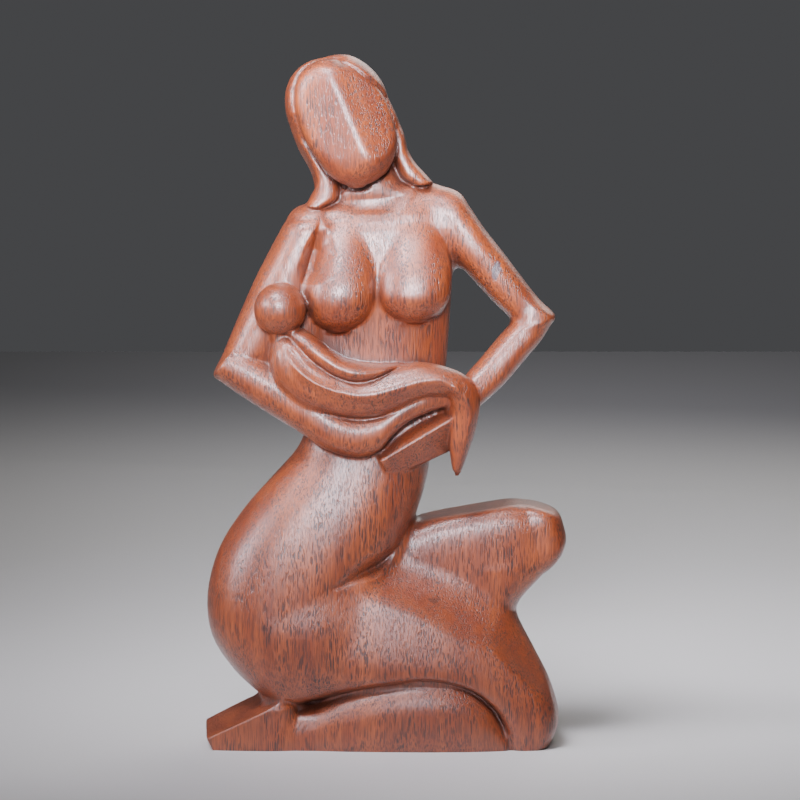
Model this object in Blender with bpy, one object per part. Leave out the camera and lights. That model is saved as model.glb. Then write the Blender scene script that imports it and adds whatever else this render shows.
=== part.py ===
"""Mother and child, a kneeling figure carved from one block of hardwood. Metres, +Z up, front towards -Y."""

import bmesh
import bpy
import numpy as np

# Driving sizes
HEIGHT = 0.400
SQUARES_HIGH = 700
SQUARE = HEIGHT / SQUARES_HIGH
FIRST_CELL = 0.0026
FINE_CELL = 0.0017
TRIANGLES = 9400
RING_POINTS = 28
EASE_STEPS = 4
MIDDLE = (0.0, 6.2, 0.0)
FIRST_MOVE = 6
LATER_MOVE = 1.5
EVENING = 0.6
WOOD_COLOUR = (0.30, 0.12, 0.055, 1.0)
WOOD_ROUGHNESS = 0.35

# Masses, on a grid of squares that is 700 high, with its middle MIDDLE squares off the middle of the
# block. A mass is a row of cross bars from one side of it to the other. A bar is left x, left z, right x,
# right z, how far forward its front and its back lie, and how much further back the right end lies than
# the middle. Before the bars: the squareness of the section, the softness of the join to the masses
# before it, and how far the rounded ends reach.
MASSES = {
    "trunk": (2.5, 1, (14, 6), [
        (-58, 552, 44, 560, 22, -40, 0), (-80, 520, 66, 527, 38, -50, 0), (-84, 467, 68, 477, 44, -54, 0),
        (-86, 416, 65, 423, 42, -52, 0), (-83, 370, 61, 378, 42, -50, 0), (-80, 330, 53, 335, 46, -50, 0),
        (-88, 303, 47, 296, 50, -54, 0), (-111, 276, 40, 261, 56, -58, 0), (-143, 240, 27, 223, 64, -64, 0),
        (-169, 199, 9, 186, 70, -70, 0), (-181, 153, -13, 147, 74, -74, 0), (-177, 112, -15, 116, 76, -76, 0),
        (-156, 78, -32, 82, 72, -74, 0), (-132, 56, -56, 58, 66, -70, 0), (-112, 46, -80, 47, 58, -58, 0),
    ]),
    "far thigh": (3.5, 12, (10, 33), [
        (-20, 110, -26, 190, 34, -66, 0), (20, 108, 18, 220, 31, -70, 0), (56, 112, 50, 235, 30, -72, 0),
        (92, 122, 86, 243, 29, -74, 0), (124, 136, 112, 247, 27, -74, 0), (146, 153, 128, 248, 24, -74, 0),
        (163, 168, 141, 247, 20, -72, 0),
    ]),
    "far shin": (2.6, 12, (10, 10), [
        (92, 168, 146, 172, 18, -66, 0), (82, 130, 134, 136, 26, -70, 0), (76, 96, 151, 95, 32, -70, 0),
        (72, 66, 165, 66, 36, -70, 0), (68, 34, 174, 34, 36, -72, 0), (62, 0, 172, 4, 34, -74, 0),
        (58, -30, 160, -30, 30, -74, 0),
    ]),
    "far foot": (2.8, 10, (14, 20), [
        (60, -24, 58, 30, -20, -74, 0), (100, -24, 98, 36, -20, -76, 0), (140, -24, 140, 34, -18, -74, 0),
    ]),
    "seat": (2.6, 16, (12, 12), [
        (-116, -30, -116, 50, 16, -44, 0), (-70, -30, -70, 96, 16, -46, 0), (-20, -30, -20, 128, 16, -46, 0),
        (40, -30, 40, 138, 16, -46, 0), (96, -30, 96, 140, 16, -46, 0),
    ]),
    "near thigh": (2.5, 18, (20, 10), [
        (-104, 146, -108, 56, 70, -60, 0), (-54, 166, -76, 46, 76, -30, -4), (-2, 186, -23, 58, 77, -20, -16),
        (44, 178, 23, 67, 79, -16, -26), (85, 156, 60, 66, 79, -12, -26), (124, 126, 90, 57, 76, -10, -18),
        (152, 89, 111, 38, 73, -10, -10), (169, 55, 119, 14, 70, -12, -4), (176, 24, 118, -12, 66, -14, 0),
        (163, -8, 112, -40, 60, -14, 0),
    ]),
    "calf": (2.3, 5, (20, 8), [
        (-112, -30, -112, 32, 62, 4, 0), (-90, -28, -90, 37, 63, 4, 0), (-70, -24, -70, 44, 66, 4, 0),
        (-40, -24, -40, 60, 72, 0, 0), (0, -24, 0, 75, 77, -4, 0), (40, -24, 40, 81, 79, -6, 0),
        (78, -24, 78, 75, 77, -8, 0), (104, -24, 104, 56, 72, -10, 0), (121, -24, 121, 28, 65, -12, 0),
    ]),
    "foot": (5.0, 10, (4, 22), [
        (-165, -12, -186, 32, 62, -12, 0), (-156, -20, -158, 52, 64, -14, 0),
        (-130, -26, -130, 60, 66, -14, 0),
        (-112, -26, -112, 58, 66, -8, 0), (-102, -26, -100, 52, 64, -8, 0), (-92, -26, -88, 38, 60, -8, 0),
    ]),
    "right arm web": (3.2, 8, (14, 10), [
        (-100, 520, -48, 520, 38, -26, 0), (-112, 486, -50, 488, 42, -26, 0),
        (-124, 452, -54, 454, 44, -22, 0),
        (-140, 412, -60, 410, 43, -16, 0), (-146, 384, -70, 376, 42, -12, 0),
    ]),
    "right upper arm": (2.3, 18, (15, 8), [
        (-95, 533, -48, 538, 29, -36, 0), (-108, 516, -54, 516, 38, -38, 0),
        (-128, 481, -74, 482, 43, -36, 0), (-145, 444, -92, 442, 45, -32, 0),
        (-159, 411, -113, 404, 47, -26, 0),
        (-171, 380, -132, 384, 49, -18, 0),
    ]),
    "right forearm": (2.5, 4, (5, 6), [
        (-150, 406, -172, 375, 51, -16, 0), (-128, 396, -144, 356, 57, -6, 0),
        (-100, 380, -113, 337, 63, 4, 0),
        (-72, 362, -84, 320, 68, 14, 0), (-50, 346, -58, 304, 72, 24, 0), (-30, 338, -28, 297, 72, 30, 0),
        (-8, 340, -6, 303, 70, 34, 0), (12, 350, 8, 319, 68, 36, 0), (32, 360, 24, 333, 66, 38, 0),
        (54, 368, 48, 344, 64, 40, 0), (68, 356, 66, 349, 60, 44, 0),
    ]),
    "left upper arm": (2.5, 18, (10, 5), [
        (16, 520, 33, 564, 24, -40, 0), (38, 516, 53, 567.5, 26, -40, 0), (53, 506, 75, 561, 30, -40, 0),
        (66, 495, 87.5, 544, 32, -38, 0), (79, 484, 102.5, 522.5, 34, -36, 0),
        (93, 468.5, 119.5, 501, 34, -34, 0), (108, 452.5, 137, 478, 34, -30, 0),
        (122.5, 438.5, 155, 454.5, 32, -28, 0), (134, 428, 169, 438, 30, -26, 0),
    ]),
    "left forearm": (2.6, 9, (5, 8), [
        (141, 448, 171, 433, 32, -26, 0), (129, 431, 160, 414, 36, -20, 0), (112, 412, 142, 393, 42, -12, 0),
        (95, 392, 124, 372, 48, -4, 0), (82, 378, 109, 358, 54, 4, 0), (72, 362, 96, 347, 58, 12, 0),
        (62, 348, 84, 334, 60, 18, 0),
    ]),
    "left hand": (4.0, 3, (6, 3), [
        (72, 353, 72, 304, 64, 16, 0), (52, 343, 52, 295, 68, 20, 0), (36, 333, 36, 287, 70, 24, 0),
        (18, 321, 18, 281, 70, 28, 0), (-6, 303, 3, 282, 66, 34, 0),
    ]),
    "between the hands": (2.5, 3, (10, 8), [
        (-20, 345, -20, 300, 44, 10, 0), (20, 356, 20, 300, 44, 10, 0), (60, 362, 60, 310, 43, 10, 0),
    ]),
    "neck": (2.3, 16, (12, 6), [
        (-46, 596, 6, 600, 20, -24, 0), (-45, 578, 12, 582, 24, -26, 0), (-46, 562, 16, 568, 24, -32, 0),
        (-54, 542, 28, 548, 17, -36, 0),
    ]),
    "hair fall": (2.4, 14, (10, 14), [
        (-82, 616, 14, 616, -8, -40, 0), (-74, 590, 26, 590, -8, -50, 0), (-71, 562, 40, 566, -10, -58, 0),
        (-68, 512, 44, 516, -28, -62, 0), (-56, 474, 30, 476, -34, -60, 0), (-38, 452, 10, 452, -36, -56, 0),
    ]),
    "hair": (2.35, 5, (50.5, 4), [
        (-100, 641, 3, 658, 49, -50, 0), (-96, 627, 13, 636, 45, -51, 0), (-87.5, 604, 21, 607, 27, -52, 0),
        (-76, 582, 30, 585, 4, -52, 0), (-70, 562, 44, 567, -6, -50, 0), (-80, 545, 50, 562, -10, -44, 0),
    ]),
    "right lock": (2.6, 3, (10, 3), [
        (-96, 640, -80, 635, 4, -14, 0), (-90, 618, -71, 610, 20, -16, 0), (-80, 598, -56, 589, 21, -18, 0),
        (-72, 581, -47, 575, 23, -20, 0), (-70, 569, -45, 565, 26, -20, 0), (-75, 558, -47, 554, 29, -20, 0),
        (-80, 549, -61, 546, 31, -20, 0),
    ]),
    "left lock": (2.6, 3, (10, 3), [
        (-6, 634, 10, 638, 2, -14, 0), (0, 617, 19, 621, 17, -16, 0), (6, 602, 23, 605, 20, -18, 0),
        (11, 589, 30, 592, 22, -20, 0), (16, 577, 40, 581, 24, -20, 0), (26, 570, 48, 572, 24, -20, 0),
    ]),
    "face": (2.2, 1, (2, 3), [
        (-70, 693, -46, 694, 34, 0, 0), (-82, 685, -30, 687, 46, -6, 0), (-89, 672, -15, 675, 58, -12, 0),
        (-91, 655, -2, 660, 68, -14, 0), (-88, 637, 6, 643, 72, -14, 0), (-82, 620, 11, 626, 73, -14, 0),
        (-74, 604, 12, 609, 72, -12, 0), (-64, 590, 8, 594, 67, -8, 0), (-56, 580, 2, 583, 61, 0, 0),
        (-46, 572.5, -10, 574, 53, 6, 0), (-38, 569.5, -19, 570, 47, 10, 0),
    ]),
    "right breast": (2.2, 5, (16, 3), [
        (-66, 530, -20, 534, 31, 0, 0), (-73, 507, -15, 513, 46, 0, 0), (-79, 479, -9, 485, 61, 0, 0),
        (-81, 462, -8, 466, 67, 0, 0), (-79, 446, -11, 449, 67, 2, 0), (-71, 432, -20, 434, 61, 6, 0),
        (-58, 424, -34, 425, 52, 12, 0),
    ]),
    "left breast": (2.2, 5, (16, 3), [
        (2, 532, 50, 534, 31, 0, 0), (-2, 508, 60, 512, 45, 0, 0), (-8, 484, 67, 488, 57, 0, 0),
        (-9, 464, 67, 467, 63, 0, 0), (-6, 451, 64, 453, 63, 2, 0), (3, 440, 56, 441, 57, 6, 0),
        (16, 433, 44, 434, 49, 12, 0),
    ]),
    "baby": (2.3, 3, (12, 4), [
        (-96, 422, -114, 413, 62, 20, 0), (-83, 415, -116, 396, 72, 20, 0), (-71, 406, -112, 376, 77, 20, 0),
        (-58, 396, -99, 360, 79, 22, 0), (-45, 387, -81, 347, 80, 24, 0), (-29, 383, -55, 339, 80, 26, 0),
        (-12, 384, -29, 336, 80, 27, 0), (6, 388, -6, 338, 80, 28, 0), (21, 391, 14, 345, 79, 29, 0),
        (36, 393, 35, 355, 77, 30, 0), (59, 389, 56, 358, 75, 34, 0), (83, 378, 64, 356, 72, 38, 0),
        (95, 355, 67, 345, 69, 40, 0), (93, 331, 66, 331, 66, 38, 0), (86, 307, 65, 307, 62, 36, 0),
        (78, 286, 68, 289, 58, 36, 0), (74, 277, 71, 278, 54, 40, 0),
    ]),
    "swaddle roll": (2.2, 2, (8, 10), [
        (-87, 428, -98, 418, 66, 30, 0), (-76, 422, -89, 409, 74, 30, 0), (-64, 414, -78, 397, 79, 30, 0),
        (-53, 405, -64, 387, 82, 30, 0), (-40, 397, -49, 378, 84, 30, 0), (-25, 393, -31, 373, 85, 30, 0),
        (-10, 391, -14, 375, 82, 30, 0), (3, 391, 1, 381, 76, 32, 0), (13, 391, 12, 387, 66, 34, 0),
    ]),
    "baby head": (2.0, 3, (25, 25), [
        (-131, 447, -79, 447, 80, 28, 0), (-131, 445, -79, 445, 80, 28, 0),
    ]),
}

# Flat facets left by the chisel, each by three places on it and how soft its edges are.
FACETS = {
    "face": [
        ((-58, -47, 692), (-20, -67, 604), (-84, -41, 628), 10),
        ((-58, -47, 692), (-20, -67, 604), (10, -43, 622), 5),
    ],
    "hair": [
        ((-25, 0, 699.5), (4, 0, 674.5), (4, -30, 674.5), 12),
        ((4, 0, 676), (15, 0, 654), (15, -30, 654), 12),
    ],
    "near thigh": [
        ((-51, -68, 166), (33, -70, 136), (-20, -79, 100), 14),
        ((33, -70, 136), (117, -69, 90), (60, -79, 75), 14),
        ((117, -69, 90), (146, -66, 61), (112, -77, 55), 14),
        ((-51, -68, 166), (33, -70, 136), (20, -8, 190), 4),
        ((33, -70, 136), (117, -69, 90), (95, -8, 165), 4),
        ((117, -69, 90), (146, -66, 61), (160, -8, 95), 4),
    ],
    "foot": [
        ((-178, -62, 13), (-107, -62, 48), (-183, 12, 21), 2),
    ],
    "left hand": [
        ((5, -61, 299.5), (68, -61, 337), (36, -44, 331), 2),
        ((5, -62, 298), (68, -62, 336), (20, -46, 284), 3),
    ],
    "far thigh": [
        ((28, -26, 227), (123, -26, 242.5), (123, 30, 243), 3),
        ((26, -27, 228), (123, -26, 242), (60, -33, 150), 8),
        ((187, 0, 199), (137, 0, 133), (137, -30, 133), 12),
        ((140, 0, 245.5), (172, 0, 236), (172, -30, 236), 8),
    ],
}

# A groove cut round a mass where it meets the masses before it: its width and its depth.
CHANNELS = {"face": (6, 4)}

# Strokes of the gouge in the front: the width on the left and on the right of the line, the depth (a
# negative one leaves a ridge), whether the bottom is sharp, the fade at each end, and the line in x and z
# squares.
STROKES = {
    "arm against breast": (32, 9, 11, True, 30, 16, [
        (-65, 535), (-69, 518), (-74, 501), (-79, 484), (-83, 470),
    ]),
    "hip crease": (20, 13, 11, True, 50, 40, [(-55, 164), (-42, 169), (-30, 175), (-5, 187), (15, 205)]),
    "thigh and calf crease": (5, 5, 2, True, 6, 30, [
        (-103, 52), (-88, 46), (-74, 48), (-60, 53), (-35, 60), (-10, 66), (15, 70), (36, 72), (55, 70.5),
        (73, 66), (92, 57), (108, 41), (118, 25), (123, 13),
    ]),
    "swaddle crest": (12, 10, -4, False, 24, 12, [
        (-97, 406), (-87, 390), (-71, 377), (-49, 367), (-29, 361), (-10, 362), (5, 366), (27, 372),
        (45, 376),
        (57, 376), (66, 371), (78, 360),
    ]),
    "second swaddle fold": (6, 6, 2.5, False, 14, 14, [
        (-100, 412), (-91, 399), (-78, 386), (-64, 377), (-47, 371), (-33, 369),
    ]),
    "tail ridge": (7, 14, -3, True, 10, 3, [
        (66, 373), (77, 364), (83, 353), (86, 340), (83, 324), (80, 309), (76, 294), (71, 280),
    ]),
}

SIDE_TURN = 16


def eased(rows):
    """The rows with more between them along a smooth curve, so that a few stations give a flowing form."""
    rows = np.array(rows, float)
    ends = np.vstack([2 * rows[0] - rows[1], rows, 2 * rows[-1] - rows[-2]])
    share = (np.arange(EASE_STEPS) / EASE_STEPS)[:, None]
    found = []
    for before, here, there, after in zip(ends[:-3], ends[1:-2], ends[2:-1], ends[3:]):
        slope = (there - before) * share
        bend = (2 * before - 5 * here + 4 * there - after) * share**2
        twist = (3 * here - before - 3 * there + after) * share**3
        found.append(here + (slope + bend + twist) / 2)
    return np.vstack([*found, rows[-1:]])


def bars_of(rows):
    """Middle, half length, middle depth, half depth and slant of each bar of a mass."""
    rows = eased(rows)
    middle = (rows[:, 0:2] + rows[:, 2:4]) / 2
    half = (rows[:, 2:4] - rows[:, 0:2]) / 2
    return middle, half, -(rows[:, 4] + rows[:, 5]) / 2, (rows[:, 4] - rows[:, 5]) / 2, rows[:, 6]


def crossed(first, second):
    return first[..., 0] * second[..., 1] - first[..., 1] * second[..., 0]


def facet_distance(points, facet, inner):
    """How far each point lies outside a facet, whose inner side holds the given place."""
    first, second, third = (np.array(corner, float) for corner in facet[:3])
    normal = np.cross(second - first, third - first)
    normal /= np.linalg.norm(normal)
    if (inner - first) @ normal > 0:
        normal = -normal
    return (points - first) @ normal


def mass_distance(points, name):
    """How far each point lies outside the mass, in squares, and below zero inside it."""
    power, _, ends, rows = MASSES[name]
    middle, half, depth, thick, slant = bars_of(rows)
    length = np.linalg.norm(half, axis=1)
    turn = np.sign(crossed(half[0], middle[1] - middle[0]))
    flat = points[:, [0, 2]]
    past = (half[:, 0] * flat[:, 1:2] - half[:, 1] * flat[:, 0:1] - crossed(half, middle)) * turn / length
    last = len(middle) - 1
    within = np.hstack([past[:, :1] < 0, (past[:, :-1] >= 0) & (past[:, 1:] <= 0), past[:, -1:] > 0])
    point, gap = np.nonzero(within)
    low, high = np.clip(gap - 1, 0, last), np.clip(gap, 0, last)
    before, after = past[point, low], past[point, high]
    share = np.where(low == high, 0, before / np.maximum(before - after, 1e-6))
    cap = np.where(gap == 0, ends[0], ends[1])
    beyond = np.where(gap == 0, -before, np.where(gap == last + 1, before, 0)) / cap

    def between(values):
        part = share if values.ndim == 1 else share[:, None]
        return values[low] * (1 - part) + values[high] * part

    reach = between(half)
    span = (reach**2).sum(axis=1)
    across = ((flat[point] - between(middle)) * reach).sum(axis=1) / span
    deep = between(thick)
    through = np.abs(points[point, 1] - between(depth) - between(slant) * across) / deep
    across = np.abs(across)
    ratio = np.maximum((across**power + through**power + beyond**power) ** (1 / power), 0.05)
    steep = ((across / ratio) ** (power - 1) / np.sqrt(span)) ** 2
    steep = steep + ((through / ratio) ** (power - 1) / deep) ** 2
    steep += ((beyond / ratio) ** (power - 1) / cap) ** 2
    found = np.full(len(points), 1e3)
    np.minimum.at(found, point, (ratio - 1) / np.sqrt(np.maximum(steep, 1e-6)))
    inner = np.insert(middle.mean(axis=0), 1, depth.mean())
    for facet in FACETS.get(name, []):
        off = facet_distance(points, facet, inner)
        mix = np.clip(1 - np.abs(found - off) / facet[3], 0, 1)
        found = np.maximum(found, off) + mix**2 * facet[3] / 4
    return found


def stroke_depth(points, stroke):
    """How deep a stroke cuts below the surface at each point, in squares."""
    left, right, depth, sharp, start, end, line = stroke
    line = eased(line)
    flat = points[:, [0, 2]]
    step = line[1:] - line[:-1]
    length = np.linalg.norm(step, axis=1)
    offset = flat[:, None] - line[None, :-1]
    share = np.clip((offset * step).sum(axis=2) / length**2, 0, 1)
    gap = offset - share[..., None] * step
    far = np.linalg.norm(gap, axis=2)
    nearest = far.argmin(axis=1)
    rows = np.arange(len(points))
    along = np.concatenate([[0], np.cumsum(length)])
    here = along[nearest] + share[rows, nearest] * length[nearest]
    hand = crossed(step[nearest], offset[rows, nearest])
    fade = np.clip(here / start, 0.02, 1) * np.clip((along[-1] - here) / end, 0.02, 1)
    width = np.where(hand > 0, left, right) * fade**0.7
    near = np.clip(far[rows, nearest] / width, 0, 1)
    shape = (1 - near) ** 1.6 if sharp else (1 - near**2) ** 2
    return depth * shape * fade * np.clip(-points[:, 1] / SIDE_TURN, 0, 1)


def close_to(points, low, high, margin):
    return ((points > low - margin) & (points < high + margin)).all(axis=1)


def box_of(rows, ends):
    rows = np.array(rows, float)
    reach = max(ends) + 4
    low = [rows[:, (0, 2)].min(), -rows[:, 4].max(), rows[:, (1, 3)].min()]
    high = [rows[:, (0, 2)].max(), -rows[:, 5].min(), rows[:, (1, 3)].max()]
    return np.array(low) - reach, np.array(high) + reach


def carved_distance(points):
    """How far each point lies outside the carving, with the masses run together and the strokes cut in."""
    found = np.full(len(points), 60.0)
    for name, (_, blend, ends, rows) in MASSES.items():
        low, high = box_of(rows, ends)
        chosen = close_to(points, low, high, blend + 6)
        if not chosen.any():
            continue
        old, new = found[chosen], mass_distance(points[chosen], name)
        if name in CHANNELS:
            width, deep = CHANNELS[name]
            old = old + deep * np.clip(1 - new / width, 0, 1) ** 2
        mix = np.clip(1 - np.abs(old - new) / blend, 0, 1)
        found[chosen] = np.minimum(old, new) - mix**2 * blend / 4
    for stroke in STROKES.values():
        line = np.array(stroke[6], float)
        reach = max(stroke[0], stroke[1])
        flat = points[:, [0, 2]]
        chosen = (flat > line.min(axis=0) - reach) & (flat < line.max(axis=0) + reach)
        chosen = chosen.all(axis=1)
        found[chosen] += stroke_depth(points[chosen], stroke)
    return found


def settle(mesh, rounds):
    """Moves the vertices onto the carved surface, and evens them out along it between the rounds."""
    points = np.empty(len(mesh.vertices) * 3)
    mesh.vertices.foreach_get("co", points)
    points = points.reshape(-1, 3) / SQUARE - MIDDLE
    ends = np.empty(len(mesh.edges) * 2, np.int32)
    mesh.edges.foreach_get("vertices", ends)
    ends = np.concatenate([ends.reshape(-1, 2), ends.reshape(-1, 2)[:, ::-1]])
    neighbours = np.bincount(ends[:, 0], minlength=len(points))
    corners = np.array([(1, -1, -1), (-1, -1, 1), (-1, 1, -1), (1, 1, 1)], float)
    reach = 0.5

    def around(values):
        return np.array([np.bincount(ends[:, 0], column[ends[:, 1]]) / neighbours for column in values.T]).T

    for turn in range(rounds):
        values = np.array([carved_distance(points + corner * reach) for corner in corners])
        here = values.mean(axis=0)
        slope = (values[:, :, None] * corners[:, None, :]).sum(axis=0) / (4 * reach)
        out = slope / np.sqrt((slope**2).sum(axis=1) + 1e-6)[:, None]
        for _ in range(2):
            out = out + around(out)
            out /= np.linalg.norm(out, axis=1)[:, None]
        most = FIRST_MOVE if turn == 0 else LATER_MOVE
        move = np.clip(-here / np.maximum((slope * out).sum(axis=1), 0.4), -most, most)
        points += out * move[:, None]
        if turn < rounds - 1:
            drift = around(points) - points
            points += EVENING * (drift - (drift * out).sum(axis=1)[:, None] * out)
    mesh.vertices.foreach_set("co", ((points + MIDDLE) * SQUARE).ravel())
    mesh.update()


def ring(shape, bar, power, shrink, shift):
    """One cross section of a mass, as points in metres."""
    middle, half, depth, thick, slant = (values[bar] for values in shape)
    points = []
    for turn in np.linspace(0, 2 * np.pi, RING_POINTS, endpoint=False):
        across = np.sign(np.cos(turn)) * abs(np.cos(turn)) ** (2 / power) * shrink
        through = np.sign(np.sin(turn)) * abs(np.sin(turn)) ** (2 / power) * shrink
        x, z = middle + half * across + shift
        points.append((x, depth + slant * across + thick * through, z))
    return (np.array(points) + MIDDLE) * SQUARE


def blocked_out():
    """Every mass as a closed lofted body, all in one mesh."""
    body = bmesh.new()
    for power, _, ends, rows in MASSES.values():
        shape = bars_of(rows)
        middle = shape[0]
        rings = []
        for bar in range(len(middle)):
            rings.append(ring(shape, bar, power, 1, np.zeros(2)))
        for first, cap in ((True, ends[0]), (False, ends[1])):
            bar, other = (0, 1) if first else (-1, -2)
            way = middle[bar] - middle[other]
            way = way / np.linalg.norm(way)
            for out in (0.4, 0.7, 0.9):
                shrink = (1 - out**power) ** (1 / power)
                made = ring(shape, bar, power, shrink, way * cap * out)
                rings.insert(0, made) if first else rings.append(made)
        loops = [[body.verts.new(point) for point in made] for made in rings]
        for low, high in zip(loops, loops[1:]):
            for a, b, c, d in zip(low, low[1:] + low[:1], high[1:] + high[:1], high):
                body.faces.new((a, b, c, d))
        body.faces.new(loops[0][::-1])
        body.faces.new(loops[-1])
    bmesh.ops.recalc_face_normals(body, faces=body.faces)
    mesh = bpy.data.meshes.new("mother_and_child")
    body.to_mesh(mesh)
    body.free()
    return mesh


def with_modifier(figure, kind, **settings):
    modifier = figure.modifiers.new(kind.title(), kind)
    for name, value in settings.items():
        setattr(modifier, name, value)
    made = bpy.data.meshes.new_from_object(figure.evaluated_get(bpy.context.evaluated_depsgraph_get()))
    figure.modifiers.clear()
    figure.data = made


def cut_flat(mesh):
    """The underside cut level, so that the carving stands on it."""
    body = bmesh.new()
    body.from_mesh(mesh)
    bmesh.ops.bisect_plane(
        body, geom=body.verts[:] + body.edges[:] + body.faces[:], dist=1e-6, plane_co=(0, 0, 0),
        plane_no=(0, 0, 1), clear_inner=True,
    )
    rim = [edge for edge in body.edges if edge.is_boundary]
    sole = bmesh.ops.triangle_fill(body, edges=rim, use_beauty=True, normal=(0, 0, -1))
    for face in sole["geom"]:
        if isinstance(face, bmesh.types.BMFace) and face.normal.z > 0:
            face.normal_flip()
    bmesh.ops.triangulate(body, faces=body.faces)
    body.to_mesh(mesh)
    body.free()


def wood():
    material = bpy.data.materials.new("wood")
    material.use_nodes = True
    shader = material.node_tree.nodes["Principled BSDF"]
    shader.inputs["Base Color"].default_value = WOOD_COLOUR
    shader.inputs["Roughness"].default_value = WOOD_ROUGHNESS
    return material


def main():
    for old in list(bpy.data.objects):
        bpy.data.objects.remove(old)
    figure = bpy.data.objects.new("mother_and_child", blocked_out())
    bpy.context.scene.collection.objects.link(figure)
    for cell, rounds in ((FIRST_CELL, 2), (FINE_CELL, 4)):
        with_modifier(figure, "REMESH", mode="VOXEL", voxel_size=cell)
        settle(figure.data, rounds)
    faces = sum(len(face.vertices) - 2 for face in figure.data.polygons)
    with_modifier(figure, "DECIMATE", ratio=TRIANGLES / faces)
    cut_flat(figure.data)
    figure.data.materials.clear()
    figure.data.materials.append(wood())


main()
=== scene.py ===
"""Mother and child, a kneeling figure carved from one block of hardwood.

Its carved surface, its finish, and the floor, light and camera round it.
"""

import math

import bmesh
import bpy
import numpy as np
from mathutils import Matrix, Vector


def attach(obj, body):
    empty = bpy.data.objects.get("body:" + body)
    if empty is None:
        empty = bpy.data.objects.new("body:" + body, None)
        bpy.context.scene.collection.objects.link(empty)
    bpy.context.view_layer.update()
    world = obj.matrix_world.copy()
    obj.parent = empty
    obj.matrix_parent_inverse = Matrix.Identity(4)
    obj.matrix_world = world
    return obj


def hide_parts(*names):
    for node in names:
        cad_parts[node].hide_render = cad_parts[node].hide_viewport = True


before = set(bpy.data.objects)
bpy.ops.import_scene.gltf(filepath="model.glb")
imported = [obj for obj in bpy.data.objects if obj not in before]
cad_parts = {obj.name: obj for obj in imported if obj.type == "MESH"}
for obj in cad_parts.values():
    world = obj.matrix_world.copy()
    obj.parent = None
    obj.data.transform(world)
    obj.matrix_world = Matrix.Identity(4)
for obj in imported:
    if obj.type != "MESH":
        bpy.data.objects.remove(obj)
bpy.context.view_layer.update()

# Sizes of the carving and of the grid that its forms are drawn on, as the solid has them
HEIGHT = 0.400
SQUARES_HIGH = 700
SQUARE = HEIGHT / SQUARES_HIGH
MIDDLE = (0.0, 6.2, 0.0)
# Into how many steps a smooth curve cuts the way from one given bar to the next
EASE_STEPS = 4
# Over how many squares a stroke in the front fades towards the middle of the figure's thickness
SIDE_TURN = 16
# How far out a place counts as far off, in squares, when no mass is near
FAR_OFF = 60.0
# How much further than its own reach a mass is still felt, in squares, and its box is made larger
JOIN_REACH = 6
BOX_REACH = 4
# The surface: its fine cells in metres, and the triangles in all
CELL = 0.00085
TRIANGLES = 190000
# How many rounds settle it on the carved form, how far a vertex may move, in squares, in the first round
# and in a later one, how much it is evened out between them, and how far round it the form is felt
SETTLE_ROUNDS = 2
FIRST_MOVE = 6
LATER_MOVE = 1.5
EVENING = 0.6
FEEL_REACH = 0.5
# The least slope that a move is worked out from
LEAST_SLOPE = 0.4
# What lies lower than this, in squares, is the underside, and it is carried down by so much spare wood,
# which is cut off level in the end
SOLE_NEAR = 0.2
SPARE_WOOD = 12
# Vertices closer together than this, in metres, are one
SAME_PLACE = 0.00002
# Hollows: how far from the surface they are felt for, in squares, and the share of each such reach
HOLLOW_REACHES = ((4.0, 0.4), (10.0, 0.35), (24.0, 0.25))

# Colours of the wood, of its pores, of the shade painted into its creases and hollows, and of two marks in it
WOOD_LIGHT = (0.50, 0.108, 0.024, 1.0)
WOOD_RED = (0.31, 0.054, 0.012, 1.0)
WOOD_DARK = (0.085, 0.016, 0.006, 1.0)
PORE_DARK = (0.030, 0.010, 0.008, 1.0)
# Painted shade: the dark colour laid into creases and hollows, where shade falls
PAINTED_CREASE_SHADE = (0.070, 0.014, 0.005, 1.0)
FLECK_GREY = (0.085, 0.095, 0.120, 1.0)
KNOT_DARK = (0.050, 0.014, 0.008, 1.0)
# The marks: colour, side, height, half width and half height in metres
MARKS = (
    (FLECK_GREY, 0.0640, 0.2763, 0.0022, 0.0055),
    (KNOT_DARK, 0.0280, 0.0862, 0.0042, 0.0016),
)
# How much of each dark colour shows where its pattern is at its fullest; the crease share is how much painted
# shade a crease gets
FIBRE_SHARE = 0.62
CLOUD_SHARE = 0.25
PORE_SHARE = 0.9
MARK_SHARE = 0.7
PAINTED_SHADE_SHARE = 0.8
# The wax on the wood: how rough it is, and how strongly it bends light
WAX_ROUGHNESS = 0.35
WAX_BEND = 1.7
# The wood under it: its shine, its roughness in the open, and how much rougher hollows and pores are
WOOD_SHINE = 0.35
OPEN_ROUGHNESS = 0.42
HOLLOW_ROUGHNESS = 0.3
PORE_ROUGHNESS = 0.2
# How deep a pore is, in metres, how much of that the fibre has, and how much of both is seen
PORE_DEPTH = 0.0003
FIBRE_RELIEF = 0.25
RELIEF_SEEN = 0.5

# The camera, at the height and distance that give the photograph's view
CAMERA_DISTANCE = 4375 * SQUARE
CAMERA_RISE = math.radians(5)
CAMERA_LENS = 193.5
CAMERA_AIM = Vector((15.26, MIDDLE[1], 350)) * SQUARE
SENSOR_WIDTH = 36
FARTHEST_SEEN = 20
# The floor, and the light that the room gives from everywhere
FLOOR_WIDTH = 6
FLOOR_PALE = (0.62, 0.61, 0.59, 1.0)
FLOOR_ROUGHNESS = 0.7
ROOM_COLOUR = (0.94, 0.95, 1.0, 1.0)
ROOM_STRENGTH = 0.07
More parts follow.
